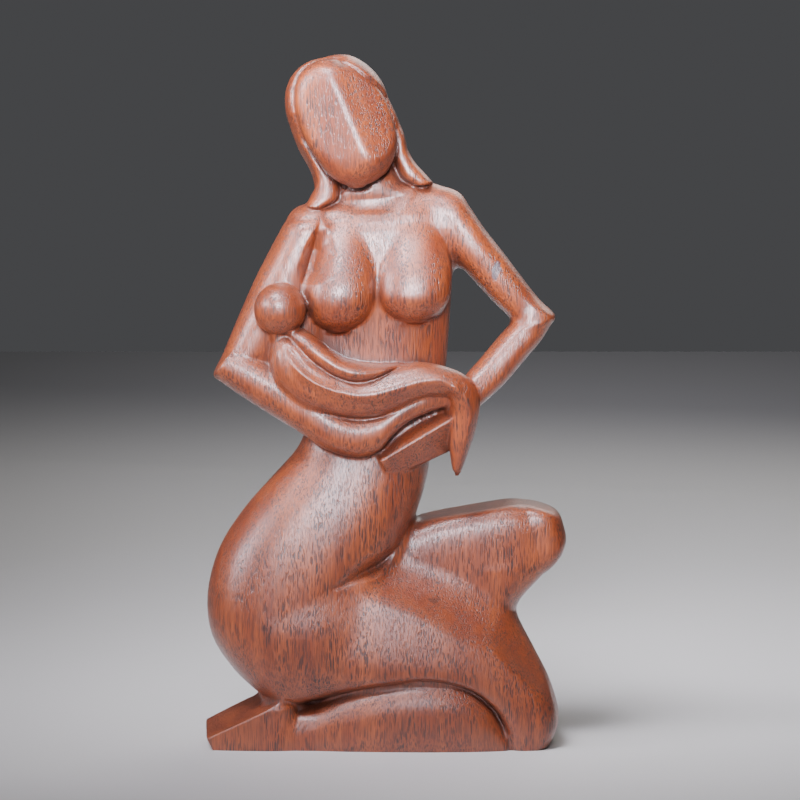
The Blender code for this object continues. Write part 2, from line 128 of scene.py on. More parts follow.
# Lights: name, place, size, watts, colour, spread in degrees, and the height that it is aimed at
SKY_WHITE = (0.90, 0.89, 1.0)
WARM_WHITE = (1.0, 0.98, 0.95)
LIGHTS = (
    ("key", (-0.35, -0.55, 1.45), 0.6, 2.8, SKY_WHITE, 40, 0.46),
    ("front", (-0.10, -1.25, 0.80), 0.5, 2.5, SKY_WHITE, 26, 0.45),
    ("left", (-1.2, -0.5, 0.75), 0.5, 1.2, SKY_WHITE, 40, 0.34),
    ("top", (-0.1, -0.2, 1.5), 0.7, 1.8, SKY_WHITE, 180, 0.30),
    ("back", (0.5, 1.3, 1.2), 1.0, 9, WARM_WHITE, 180, 0.30),
)

# Masses, on a grid of squares that is 700 high, with its middle MIDDLE squares off the middle of the
# block. A mass is a row of cross bars from one side of it to the other. A bar is left x, left z, right x,
# right z, how far forward its front and its back lie, and how much further back the right end lies than
# the middle. Before the bars: the squareness of the section, the softness of the join to the masses
# before it, and how far the rounded ends reach.
MASSES = {
    "trunk": (2.5, 1, (14, 6), [
        (-58, 552, 44, 560, 22, -40, 0), (-80, 520, 66, 527, 38, -50, 0), (-84, 467, 68, 477, 44, -54, 0),
        (-86, 416, 65, 423, 42, -52, 0), (-83, 370, 61, 378, 42, -50, 0), (-80, 330, 53, 335, 46, -50, 0),
        (-88, 303, 47, 296, 50, -54, 0), (-111, 276, 40, 261, 56, -58, 0), (-143, 240, 27, 223, 64, -64, 0),
        (-169, 199, 9, 186, 70, -70, 0), (-181, 153, -13, 147, 74, -74, 0), (-177, 112, -15, 116, 76, -76, 0),
        (-156, 78, -32, 82, 72, -74, 0), (-132, 56, -56, 58, 66, -70, 0), (-112, 46, -80, 47, 58, -58, 0),
    ]),
    "far thigh": (3.5, 12, (10, 33), [
        (-20, 110, -26, 190, 34, -66, 0), (20, 108, 18, 220, 31, -70, 0), (56, 112, 50, 235, 30, -72, 0),
        (92, 122, 86, 243, 29, -74, 0), (124, 136, 112, 247, 27, -74, 0), (146, 153, 128, 248, 24, -74, 0),
        (163, 168, 141, 247, 20, -72, 0),
    ]),
    "far shin": (2.6, 12, (10, 10), [
        (92, 168, 146, 172, 18, -66, 0), (82, 130, 134, 136, 26, -70, 0), (76, 96, 151, 95, 32, -70, 0),
        (72, 66, 165, 66, 36, -70, 0), (68, 34, 174, 34, 36, -72, 0), (62, 0, 172, 4, 34, -74, 0),
        (58, -30, 160, -30, 30, -74, 0),
    ]),
    "far foot": (2.8, 10, (14, 20), [
        (60, -24, 58, 30, -20, -74, 0), (100, -24, 98, 36, -20, -76, 0), (140, -24, 140, 34, -18, -74, 0),
    ]),
    "seat": (2.6, 16, (12, 12), [
        (-116, -30, -116, 50, 16, -44, 0), (-70, -30, -70, 96, 16, -46, 0), (-20, -30, -20, 128, 16, -46, 0),
        (40, -30, 40, 138, 16, -46, 0), (96, -30, 96, 140, 16, -46, 0),
    ]),
    "near thigh": (2.5, 18, (20, 10), [
        (-104, 146, -108, 56, 70, -60, 0), (-54, 166, -76, 46, 76, -30, -4), (-2, 186, -23, 58, 77, -20, -16),
        (44, 178, 23, 67, 79, -16, -26), (85, 156, 60, 66, 79, -12, -26), (124, 126, 90, 57, 76, -10, -18),
        (152, 89, 111, 38, 73, -10, -10), (169, 55, 119, 14, 70, -12, -4), (176, 24, 118, -12, 66, -14, 0),
        (163, -8, 112, -40, 60, -14, 0),
    ]),
    "calf": (2.3, 5, (20, 8), [
        (-112, -30, -112, 32, 62, 4, 0), (-90, -28, -90, 37, 63, 4, 0), (-70, -24, -70, 44, 66, 4, 0),
        (-40, -24, -40, 60, 72, 0, 0), (0, -24, 0, 75, 77, -4, 0), (40, -24, 40, 81, 79, -6, 0),
        (78, -24, 78, 75, 77, -8, 0), (104, -24, 104, 56, 72, -10, 0), (121, -24, 121, 28, 65, -12, 0),
    ]),
    "foot": (5.0, 10, (4, 22), [
        (-165, -12, -186, 32, 62, -12, 0), (-156, -20, -158, 52, 64, -14, 0),
        (-130, -26, -130, 60, 66, -14, 0), (-112, -26, -112, 58, 66, -8, 0),
        (-102, -26, -100, 52, 64, -8, 0), (-92, -26, -88, 38, 60, -8, 0),
    ]),
    "right arm web": (3.2, 8, (14, 10), [
        (-100, 520, -48, 520, 38, -26, 0), (-112, 486, -50, 488, 42, -26, 0),
        (-124, 452, -54, 454, 44, -22, 0), (-140, 412, -60, 410, 43, -16, 0),
        (-146, 384, -70, 376, 42, -12, 0),
    ]),
    "right upper arm": (2.3, 18, (15, 8), [
        (-95, 533, -48, 538, 29, -36, 0), (-108, 516, -54, 516, 38, -38, 0),
        (-128, 481, -74, 482, 43, -36, 0), (-145, 444, -92, 442, 45, -32, 0),
        (-159, 411, -113, 404, 47, -26, 0), (-171, 380, -132, 384, 49, -18, 0),
    ]),
    "right forearm": (2.5, 4, (5, 6), [
        (-150, 406, -172, 375, 51, -16, 0), (-128, 396, -144, 356, 57, -6, 0),
        (-100, 380, -113, 337, 63, 4, 0),
        (-72, 362, -84, 320, 68, 14, 0), (-50, 346, -58, 304, 72, 24, 0), (-30, 338, -28, 297, 72, 30, 0),
        (-8, 340, -6, 303, 70, 34, 0), (12, 350, 8, 319, 68, 36, 0), (32, 360, 24, 333, 66, 38, 0),
        (54, 368, 48, 344, 64, 40, 0), (68, 356, 66, 349, 60, 44, 0),
    ]),
    "left upper arm": (2.5, 18, (10, 5), [
        (16, 520, 33, 564, 24, -40, 0), (38, 516, 53, 567.5, 26, -40, 0), (53, 506, 75, 561, 30, -40, 0),
        (66, 495, 87.5, 544, 32, -38, 0), (79, 484, 102.5, 522.5, 34, -36, 0),
        (93, 468.5, 119.5, 501, 34, -34, 0), (108, 452.5, 137, 478, 34, -30, 0),
        (122.5, 438.5, 155, 454.5, 32, -28, 0), (134, 428, 169, 438, 30, -26, 0),
    ]),
    "left forearm": (2.6, 9, (5, 8), [
        (141, 448, 171, 433, 32, -26, 0), (129, 431, 160, 414, 36, -20, 0), (112, 412, 142, 393, 42, -12, 0),
        (95, 392, 124, 372, 48, -4, 0), (82, 378, 109, 358, 54, 4, 0), (72, 362, 96, 347, 58, 12, 0),
        (62, 348, 84, 334, 60, 18, 0),
    ]),
    "left hand": (4.0, 3, (6, 3), [
        (72, 353, 72, 304, 64, 16, 0), (52, 343, 52, 295, 68, 20, 0), (36, 333, 36, 287, 70, 24, 0),
        (18, 321, 18, 281, 70, 28, 0), (-6, 303, 3, 282, 66, 34, 0),
    ]),
    "between the hands": (2.5, 3, (10, 8), [
        (-20, 345, -20, 300, 44, 10, 0), (20, 356, 20, 300, 44, 10, 0), (60, 362, 60, 310, 43, 10, 0),
    ]),
    "neck": (2.3, 16, (12, 6), [
        (-46, 596, 6, 600, 20, -24, 0), (-45, 578, 12, 582, 24, -26, 0), (-46, 562, 16, 568, 24, -32, 0),
        (-54, 542, 28, 548, 17, -36, 0),
    ]),
    "hair fall": (2.4, 14, (10, 14), [
        (-82, 616, 14, 616, -8, -40, 0), (-74, 590, 26, 590, -8, -50, 0), (-71, 562, 40, 566, -10, -58, 0),
        (-68, 512, 44, 516, -28, -62, 0), (-56, 474, 30, 476, -34, -60, 0), (-38, 452, 10, 452, -36, -56, 0),
    ]),
    "hair": (2.35, 5, (50.5, 4), [
        (-100, 641, 3, 658, 49, -50, 0), (-96, 627, 13, 636, 45, -51, 0), (-87.5, 604, 21, 607, 27, -52, 0),
        (-76, 582, 30, 585, 4, -52, 0), (-70, 562, 44, 567, -6, -50, 0), (-80, 545, 50, 562, -10, -44, 0),
    ]),
    "right lock": (2.6, 3, (10, 3), [
        (-96, 640, -80, 635, 4, -14, 0), (-90, 618, -71, 610, 20, -16, 0), (-80, 598, -56, 589, 21, -18, 0),
        (-72, 581, -47, 575, 23, -20, 0), (-70, 569, -45, 565, 26, -20, 0), (-75, 558, -47, 554, 29, -20, 0),
        (-80, 549, -61, 546, 31, -20, 0),
    ]),
    "left lock": (2.6, 3, (10, 3), [
        (-6, 634, 10, 638, 2, -14, 0), (0, 617, 19, 621, 17, -16, 0), (6, 602, 23, 605, 20, -18, 0),
        (11, 589, 30, 592, 22, -20, 0), (16, 577, 40, 581, 24, -20, 0), (26, 570, 48, 572, 24, -20, 0),
    ]),
    "face": (2.2, 1, (2, 3), [
        (-70, 693, -46, 694, 34, 0, 0), (-82, 685, -30, 687, 46, -6, 0), (-89, 672, -15, 675, 58, -12, 0),
        (-91, 655, -2, 660, 68, -14, 0), (-88, 637, 6, 643, 72, -14, 0), (-82, 620, 11, 626, 73, -14, 0),
        (-74, 604, 12, 609, 72, -12, 0), (-64, 590, 8, 594, 67, -8, 0), (-56, 580, 2, 583, 61, 0, 0),
        (-46, 572.5, -10, 574, 53, 6, 0), (-38, 569.5, -19, 570, 47, 10, 0),
    ]),
    "right breast": (2.2, 5, (16, 3), [
        (-66, 530, -20, 534, 31, 0, 0), (-73, 507, -15, 513, 46, 0, 0), (-79, 479, -9, 485, 61, 0, 0),
        (-81, 462, -8, 466, 67, 0, 0), (-79, 446, -11, 449, 67, 2, 0), (-71, 432, -20, 434, 61, 6, 0),
        (-58, 424, -34, 425, 52, 12, 0),
    ]),
    "left breast": (2.2, 5, (16, 3), [
        (2, 532, 50, 534, 31, 0, 0), (-2, 508, 60, 512, 45, 0, 0), (-8, 484, 67, 488, 57, 0, 0),
        (-9, 464, 67, 467, 63, 0, 0), (-6, 451, 64, 453, 63, 2, 0), (3, 440, 56, 441, 57, 6, 0),
        (16, 433, 44, 434, 49, 12, 0),
    ]),
    "baby": (2.3, 3, (12, 4), [
        (-96, 422, -114, 413, 62, 20, 0), (-83, 415, -116, 396, 72, 20, 0), (-71, 406, -112, 376, 77, 20, 0),
        (-58, 396, -99, 360, 79, 22, 0), (-45, 387, -81, 347, 80, 24, 0), (-29, 383, -55, 339, 80, 26, 0),
        (-12, 384, -29, 336, 80, 27, 0), (6, 388, -6, 338, 80, 28, 0), (21, 391, 14, 345, 79, 29, 0),
        (36, 393, 35, 355, 77, 30, 0), (59, 389, 56, 358, 75, 34, 0), (83, 378, 64, 356, 72, 38, 0),
        (95, 355, 67, 345, 69, 40, 0), (93, 331, 66, 331, 66, 38, 0), (86, 307, 65, 307, 62, 36, 0),
        (78, 286, 68, 289, 58, 36, 0), (74, 277, 71, 278, 54, 40, 0),
    ]),
    "swaddle roll": (2.2, 2, (8, 10), [
        (-87, 428, -98, 418, 66, 30, 0), (-76, 422, -89, 409, 74, 30, 0), (-64, 414, -78, 397, 79, 30, 0),
        (-53, 405, -64, 387, 82, 30, 0), (-40, 397, -49, 378, 84, 30, 0), (-25, 393, -31, 373, 85, 30, 0),
        (-10, 391, -14, 375, 82, 30, 0), (3, 391, 1, 381, 76, 32, 0), (13, 391, 12, 387, 66, 34, 0),
    ]),
    "baby head": (2.0, 3, (25, 25), [
        (-131, 447, -79, 447, 80, 28, 0), (-131, 445, -79, 445, 80, 28, 0),
    ]),
}

# Flat facets left by the chisel, each by three places on it and how soft its edges are.
FACETS = {
    "face": [
        ((-58, -47, 692), (-20, -67, 604), (-84, -41, 628), 10),
        ((-58, -47, 692), (-20, -67, 604), (10, -43, 622), 5),
    ],
    "hair": [
        ((-25, 0, 699.5), (4, 0, 674.5), (4, -30, 674.5), 12),
        ((4, 0, 676), (15, 0, 654), (15, -30, 654), 12),
    ],
    "near thigh": [
        ((-51, -68, 166), (33, -70, 136), (-20, -79, 100), 14),
        ((33, -70, 136), (117, -69, 90), (60, -79, 75), 14),
        ((117, -69, 90), (146, -66, 61), (112, -77, 55), 14),
        ((-51, -68, 166), (33, -70, 136), (20, -8, 190), 4),
        ((33, -70, 136), (117, -69, 90), (95, -8, 165), 4),
        ((117, -69, 90), (146, -66, 61), (160, -8, 95), 4),
    ],
    "foot": [
        ((-178, -62, 13), (-107, -62, 48), (-183, 12, 21), 2),
    ],
    "left hand": [
        ((5, -61, 299.5), (68, -61, 337), (36, -44, 331), 2),
        ((5, -62, 298), (68, -62, 336), (20, -46, 284), 3),
    ],
    "far thigh": [
        ((28, -26, 227), (123, -26, 242.5), (123, 30, 243), 3),
        ((26, -27, 228), (123, -26, 242), (60, -33, 150), 8),
        ((187, 0, 199), (137, 0, 133), (137, -30, 133), 12),
        ((140, 0, 245.5), (172, 0, 236), (172, -30, 236), 8),
    ],
}

# A groove cut round a mass where it meets the masses before it: its width and its depth.
CHANNELS = {"face": (6, 4)}

# Strokes of the gouge in the front: the width on the left and on the right of the line, the depth (a
# negative one leaves a ridge), whether the bottom is sharp, the fade at each end, and the line in x and z
# squares.
STROKES = {
    "arm against breast": (32, 9, 11, True, 30, 16, [
        (-65, 535), (-69, 518), (-74, 501), (-79, 484), (-83, 470),
    ]),
    "hip crease": (20, 13, 11, True, 50, 40, [(-55, 164), (-42, 169), (-30, 175), (-5, 187), (15, 205)]),
    "thigh and calf crease": (5, 5, 2, True, 6, 30, [
        (-103, 52), (-88, 46), (-74, 48), (-60, 53), (-35, 60), (-10, 66), (15, 70), (36, 72), (55, 70.5),
        (73, 66), (92, 57), (108, 41), (118, 25), (123, 13),
    ]),
    "swaddle crest": (12, 10, -4, False, 24, 12, [
        (-97, 406), (-87, 390), (-71, 377), (-49, 367), (-29, 361), (-10, 362), (5, 366), (27, 372),
        (45, 376), (57, 376), (66, 371), (78, 360),
    ]),
    "second swaddle fold": (6, 6, 2.5, False, 14, 14, [
        (-100, 412), (-91, 399), (-78, 386), (-64, 377), (-47, 371), (-33, 369),
    ]),
    "tail ridge": (7, 14, -3, True, 10, 3, [
        (66, 373), (77, 364), (83, 353), (86, 340), (83, 324), (80, 309), (76, 294), (71, 280),
    ]),
}

def eased(rows):
    """The rows with more between them along a smooth curve, so that a few stations give a flowing form."""
    rows = np.array(rows, float)
    ends = np.vstack([2 * rows[0] - rows[1], rows, 2 * rows[-1] - rows[-2]])
    share = (np.arange(EASE_STEPS) / EASE_STEPS)[:, None]
    found = []
    for before, here, there, after in zip(ends[:-3], ends[1:-2], ends[2:-1], ends[3:]):
        slope = (there - before) * share
        bend = (2 * before - 5 * here + 4 * there - after) * share**2
        twist = (3 * here - before - 3 * there + after) * share**3
        found.append(here + (slope + bend + twist) / 2)
    return np.vstack([*found, rows[-1:]])


def bars_of(rows):
    """Middle, half length, middle depth, half depth and slant of each bar of a mass."""
    rows = eased(rows)
    middle = (rows[:, 0:2] + rows[:, 2:4]) / 2
    half = (rows[:, 2:4] - rows[:, 0:2]) / 2
    return middle, half, -(rows[:, 4] + rows[:, 5]) / 2, (rows[:, 4] - rows[:, 5]) / 2, rows[:, 6]


def crossed(first, second):
    """The cross product of flat directions."""
    return first[..., 0] * second[..., 1] - first[..., 1] * second[..., 0]


def facet_distance(points, facet, inner):
    """How far each point lies outside a facet, whose inner side holds the given place."""
    first, second, third = (np.array(corner, float) for corner in facet[:3])
    normal = np.cross(second - first, third - first)
    normal /= np.linalg.norm(normal)
    if (inner - first) @ normal > 0:
        normal = -normal
    return (points - first) @ normal


def mass_distance(points, name):
    """How far each point lies outside the mass, in squares, and below zero inside it."""
    power, _, ends, rows = MASSES[name]
    middle, half, depth, thick, slant = bars_of(rows)
    length = np.linalg.norm(half, axis=1)
    turn = np.sign(crossed(half[0], middle[1] - middle[0]))
    flat = points[:, [0, 2]]
    past = (half[:, 0] * flat[:, 1:2] - half[:, 1] * flat[:, 0:1] - crossed(half, middle)) * turn / length
    last = len(middle) - 1
    within = np.hstack([past[:, :1] < 0, (past[:, :-1] >= 0) & (past[:, 1:] <= 0), past[:, -1:] > 0])
    point, gap = np.nonzero(within)
    low, high = np.clip(gap - 1, 0, last), np.clip(gap, 0, last)
    before, after = past[point, low], past[point, high]
    share = np.where(low == high, 0, before / np.maximum(before - after, 1e-6))
    cap = np.where(gap == 0, ends[0], ends[1])
    beyond = np.where(gap == 0, -before, np.where(gap == last + 1, before, 0)) / cap

    def between(values):
        part = share if values.ndim == 1 else share[:, None]
        return values[low] * (1 - part) + values[high] * part

    reach = between(half)
    span = (reach**2).sum(axis=1)
    across = ((flat[point] - between(middle)) * reach).sum(axis=1) / span
    deep = between(thick)
    through = np.abs(points[point, 1] - between(depth) - between(slant) * across) / deep
    across = np.abs(across)
    ratio = np.maximum((across**power + through**power + beyond**power) ** (1 / power), 0.05)
    steep = ((across / ratio) ** (power - 1) / np.sqrt(span)) ** 2
    steep = steep + ((through / ratio) ** (power - 1) / deep) ** 2
    steep += ((beyond / ratio) ** (power - 1) / cap) ** 2
    found = np.full(len(points), 1e3)
    np.minimum.at(found, point, (ratio - 1) / np.sqrt(np.maximum(steep, 1e-6)))
    inner = np.insert(middle.mean(axis=0), 1, depth.mean())
    for facet in FACETS.get(name, []):
        off = facet_distance(points, facet, inner)
        mix = np.clip(1 - np.abs(found - off) / facet[3], 0, 1)
        found = np.maximum(found, off) + mix**2 * facet[3] / 4
    return found


def stroke_depth(points, stroke):
    """How deep a stroke cuts below the surface at each point, in squares."""
    left, right, depth, sharp, start, end, line = stroke
    line = eased(line)
    flat = points[:, [0, 2]]
    step = line[1:] - line[:-1]
    length = np.linalg.norm(step, axis=1)
    offset = flat[:, None] - line[None, :-1]
    share = np.clip((offset * step).sum(axis=2) / length**2, 0, 1)
    gap = offset - share[..., None] * step
    far = np.linalg.norm(gap, axis=2)
    nearest = far.argmin(axis=1)
    rows = np.arange(len(points))
    along = np.concatenate([[0], np.cumsum(length)])
    here = along[nearest] + share[rows, nearest] * length[nearest]
    hand = crossed(step[nearest], offset[rows, nearest])
    fade = np.clip(here / start, 0.02, 1) * np.clip((along[-1] - here) / end, 0.02, 1)
    width = np.where(hand > 0, left, right) * fade**0.7
    near = np.clip(far[rows, nearest] / width, 0, 1)
    shape = (1 - near) ** 1.6 if sharp else (1 - near**2) ** 2
    return depth * shape * fade * np.clip(-points[:, 1] / SIDE_TURN, 0, 1)


def close_to(points, low, high, margin):
    """Which points lie in a box or within a margin of it."""
    return ((points > low - margin) & (points < high + margin)).all(axis=1)


def box_of(rows, ends):
    """Two far corners of a box round a mass, with its rounded ends."""
    rows = np.array(rows, float)
    reach = max(ends) + BOX_REACH
    low = [rows[:, (0, 2)].min(), -rows[:, 4].max(), rows[:, (1, 3)].min()]
    high = [rows[:, (0, 2)].max(), -rows[:, 5].min(), rows[:, (1, 3)].max()]
    return np.array(low) - reach, np.array(high) + reach


def carved_distance(points):
    """How far each point lies outside the carving, with the masses run together and the strokes cut in."""
    found = np.full(len(points), FAR_OFF)
    for name, (_, blend, ends, rows) in MASSES.items():
        low, high = box_of(rows, ends)
        chosen = close_to(points, low, high, blend + JOIN_REACH)
        if not chosen.any():
            continue
        old, new = found[chosen], mass_distance(points[chosen], name)
        if name in CHANNELS:
            width, deep = CHANNELS[name]
            old = old + deep * np.clip(1 - new / width, 0, 1) ** 2
        mix = np.clip(1 - np.abs(old - new) / blend, 0, 1)
        found[chosen] = np.minimum(old, new) - mix**2 * blend / 4
    for stroke in STROKES.values():
        line = np.array(stroke[6], float)
        reach = max(stroke[0], stroke[1])
        flat = points[:, [0, 2]]
        chosen = close_to(flat, line.min(axis=0), line.max(axis=0), reach)
        found[chosen] += stroke_depth(points[chosen], stroke)
    return found


def settle(mesh, rounds):
    """Moves the vertices onto the carved surface, and evens them out along it between the rounds."""
    points = np.empty(len(mesh.vertices) * 3)
    mesh.vertices.foreach_get("co", points)
    points = points.reshape(-1, 3) / SQUARE - MIDDLE
    ends = np.empty(len(mesh.edges) * 2, np.int32)
    mesh.edges.foreach_get("vertices", ends)
    ends = np.concatenate([ends.reshape(-1, 2), ends.reshape(-1, 2)[:, ::-1]])
    neighbours = np.bincount(ends[:, 0], minlength=len(points))
    corners = np.array([(1, -1, -1), (-1, -1, 1), (-1, 1, -1), (1, 1, 1)], float)

    def around(values):
        return np.array([np.bincount(ends[:, 0], column[ends[:, 1]]) / neighbours for column in values.T]).T

    for turn in range(rounds):
        values = np.array([carved_distance(points + corner * FEEL_REACH) for corner in corners])
        here = values.mean(axis=0)
        slope = (values[:, :, None] * corners[:, None, :]).sum(axis=0) / (4 * FEEL_REACH)
        out = slope / np.sqrt((slope**2).sum(axis=1) + 1e-6)[:, None]
        for _ in range(2):
            out = out + around(out)
            out /= np.linalg.norm(out, axis=1)[:, None]
        most = FIRST_MOVE if turn == 0 else LATER_MOVE
        move = np.clip(-here / np.maximum((slope * out).sum(axis=1), LEAST_SLOPE), -most, most)
        points += out * move[:, None]
        if turn < rounds - 1:
            drift = around(points) - points
            points += EVENING * (drift - (drift * out).sum(axis=1)[:, None] * out)
    mesh.vertices.foreach_set("co", ((points + MIDDLE) * SQUARE).ravel())
    mesh.update()


def cut_flat(mesh):
    """The underside cut level, so that the carving stands on it."""
    body = bmesh.new()
    body.from_mesh(mesh)
    bmesh.ops.bisect_plane(
        body, geom=body.verts[:] + body.edges[:] + body.faces[:], dist=1e-6, plane_co=(0, 0, 0),
        plane_no=(0, 0, 1), clear_inner=True,
    )
    rim = [edge for edge in body.edges if edge.is_boundary]
    sole = bmesh.ops.triangle_fill(body, edges=rim, use_beauty=True, normal=(0, 0, -1))
    for face in sole["geom"]:
        if isinstance(face, bmesh.types.BMFace) and face.normal.z > 0:
            face.normal_flip()
    bmesh.ops.triangulate(body, faces=body.faces)
    body.to_mesh(mesh)
    body.free()


def store_hollows(mesh):
    """How deep each vertex lies in a hollow, from 0 on open wood to 1 at the bottom of a crease; the finish
    paints shade into the wood's colour from it and makes it rougher.
    """
    points = np.empty(len(mesh.vertices) * 3)
    mesh.vertices.foreach_get("co", points)
    points = points.reshape(-1, 3) / SQUARE - MIDDLE
    normals = np.empty(len(mesh.vertices) * 3)
    mesh.vertices.foreach_get("normal", normals)
    normals = normals.reshape(-1, 3)
    found = np.zeros(len(points))
    for reach, share in HOLLOW_REACHES:
        free = carved_distance(points + normals * reach)
        found += share * np.clip(1 - free / reach, 0, 1)
    hollows = mesh.attributes.new("hollow", "FLOAT", "POINT")
    hollows.data.foreach_set("value", found)


def carved_wood():
    """The carving itself: the solid, cut finer and with the gouge's creases."""
    bpy.ops.object.select_all(action="DESELECT")
    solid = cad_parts["mother_and_child"]
    carving = bpy.data.objects.new("carved_figure", solid.data.copy())
    bpy.context.scene.collection.objects.link(carving)
    carving.select_set(True)
    bpy.context.view_layer.objects.active = carving
    bpy.ops.object.mode_set(mode="EDIT")
    bpy.ops.mesh.select_all(action="SELECT")
    bpy.ops.mesh.remove_doubles(threshold=SAME_PLACE)
    bpy.ops.object.mode_set(mode="OBJECT")
    for vertex in carving.data.vertices:
        if vertex.co.z < SOLE_NEAR * SQUARE:
            vertex.co.z = -SPARE_WOOD * SQUARE
    remesh = carving.modifiers.new("Cells", "REMESH")
    remesh.mode = "VOXEL"
    remesh.voxel_size = CELL
    bpy.ops.object.modifier_apply(modifier=remesh.name)
    settle(carving.data, SETTLE_ROUNDS)
    thinned = carving.modifiers.new("Thinned", "DECIMATE")
    thinned.ratio = TRIANGLES / (2 * len(carving.data.polygons))
    bpy.ops.object.modifier_apply(modifier=thinned.name)
    settle(carving.data, 1)
    cut_flat(carving.data)
    store_hollows(carving.data)
    bpy.ops.object.shade_smooth()
    return carving


def new_group(name, inputs, outputs):
    """A node group with named numbers in and masks out."""
    tree = bpy.data.node_groups.new(name, "ShaderNodeTree")
    for label, start in inputs:
        socket = tree.interface.new_socket(label, in_out="INPUT", socket_type="NodeSocketFloat")
        socket.default_value = start
    for label in outputs:
        tree.interface.new_socket(label, in_out="OUTPUT", socket_type="NodeSocketFloat")
    return tree, tree.nodes.new("NodeGroupInput").outputs, tree.nodes.new("NodeGroupOutput").inputs


def placed(tree, kind, **settings):
    """A new node with the given settings."""
    node = tree.nodes.new(kind)
    for name, value in settings.items():
        setattr(node, name, value)
    return node


def feed(tree, socket, value):
    """Puts a number or a colour on a socket, or links another socket to it."""
    if isinstance(value, (int, float, tuple)):
        socket.default_value = value
    elif value is not None:
        tree.links.new(value, socket)


def sum_of(tree, operation, *values):
    """The result of a Math node."""
    node = placed(tree, "ShaderNodeMath", operation=operation)
    for socket, value in zip(node.inputs, values):
        feed(tree, socket, value)
    return node.outputs[0]


def along_grain(tree, across, along):
    """Object coordinates in steps across and along the grain, which stands upright in the block."""
    place = placed(tree, "ShaderNodeTexCoord")
    mapping = placed(tree, "ShaderNodeMapping")
    mapping.inputs["Scale"].default_value = (across, across, along)
    tree.links.new(place.outputs["Object"], mapping.inputs["Vector"])
    return mapping.outputs["Vector"]


def noise(tree, across, along, detail=3.0, rough=0.5, distortion=0.0):
    """Cloudy noise, drawn out along the grain."""
    node = placed(tree, "ShaderNodeTexNoise")
    node.inputs["Scale"].default_value = 1.0
    node.inputs["Detail"].default_value = detail
    node.inputs["Roughness"].default_value = rough
    node.inputs["Distortion"].default_value = distortion
    tree.links.new(along_grain(tree, across, along), node.inputs["Vector"])
    return node.outputs["Fac"]


def stepped(tree, value, low, high, to_low=0.0, to_high=1.0):
    """A value taken smoothly from one range to another."""
    node = placed(tree, "ShaderNodeMapRange", interpolation_type="SMOOTHSTEP")
    for name, number in (("From Min", low), ("From Max", high), ("To Min", to_low), ("To Max", to_high)):
        feed(tree, node.inputs[name], number)
    tree.links.new(value, node.inputs["Value"])
    return node.outputs["Result"]


def mixed(tree, share, first, second):
    """A colour mixed from two."""
    node = placed(tree, "ShaderNodeMix", data_type="RGBA")
    feed(tree, node.inputs[0], share)
    feed(tree, node.inputs[6], first)
    feed(tree, node.inputs[7], second)
    return node.outputs[2]


def grain_group():
    """Broad bands of heartwood, the fine fibre between them, and the cloudy figure of the wood."""
    tree, given, made = new_group("grain", [("Band sharpness", 0.2)], ["Bands", "Fibre", "Clouds"])
    low = sum_of(tree, "SUBTRACT", 0.5, given["Band sharpness"])
    high = sum_of(tree, "ADD", 0.5, given["Band sharpness"])
    tree.links.new(stepped(tree, noise(tree, 60, 5, 4, 0.6, 0.4), low, high), made["Bands"])
    tree.links.new(stepped(tree, noise(tree, 1000, 38, 3, 0.65), 0.32, 0.68), made["Fibre"])
    tree.links.new(stepped(tree, noise(tree, 24, 14, 2), 0.35, 0.75), made["Clouds"])
    return tree


def pores_group():
    """Open pores, each a short dark dash along the grain or a dot on end grain."""
    tree, given, made = new_group("pores", [("Width", 0.26)], ["Mask"])
    edge = sum_of(tree, "MULTIPLY", given["Width"], 1.5)
    found = None
    for across, along in ((1350, 130), (850, 75)):
        cells = placed(tree, "ShaderNodeTexVoronoi", feature="F1")
        cells.inputs["Scale"].default_value = 1.0
        tree.links.new(along_grain(tree, across, along), cells.inputs["Vector"])
        mask = stepped(tree, cells.outputs["Distance"], given["Width"], edge, 1.0, 0.0)
        patchy = stepped(tree, noise(tree, 120, 40, 2), 0.3, 0.62, 0.25, 1.0)
        mask = sum_of(tree, "MULTIPLY", mask, patchy)
        found = mask if found is None else sum_of(tree, "MAXIMUM", found, mask)
    tree.links.new(found, made["Mask"])
    return tree


def mark_group():
    """A small mark in the front of the wood, round a place given in metres, as wide and high as given."""
    tree, given, made = new_group(
        "mark", [("Side", 0.0), ("Height", 0.0), ("Half width", 0.003), ("Half height", 0.003)], ["Mask"],
    )
    place = placed(tree, "ShaderNodeTexCoord")
    parts = placed(tree, "ShaderNodeSeparateXYZ")
    tree.links.new(place.outputs["Object"], parts.inputs[0])
    sway = sum_of(tree, "MULTIPLY_ADD", noise(tree, 260, 120, 2), 0.006, -0.003)
    offsets = []
    for axis, middle, half in ((0, "Side", "Half width"), (2, "Height", "Half height")):
        offset = sum_of(tree, "SUBTRACT", parts.outputs[axis], given[middle])
        offset = sum_of(tree, "ADD", offset, sway)
        offset = sum_of(tree, "DIVIDE", offset, given[half])
        offsets.append(sum_of(tree, "POWER", sum_of(tree, "ABSOLUTE", offset), 2.0))
    far = sum_of(tree, "ADD", *offsets)
    front = sum_of(tree, "LESS_THAN", parts.outputs[1], 0.0)
    tree.links.new(sum_of(tree, "MULTIPLY", stepped(tree, far, 0.4, 1.3, 1.0, 0.0), front), made["Mask"])
    return tree


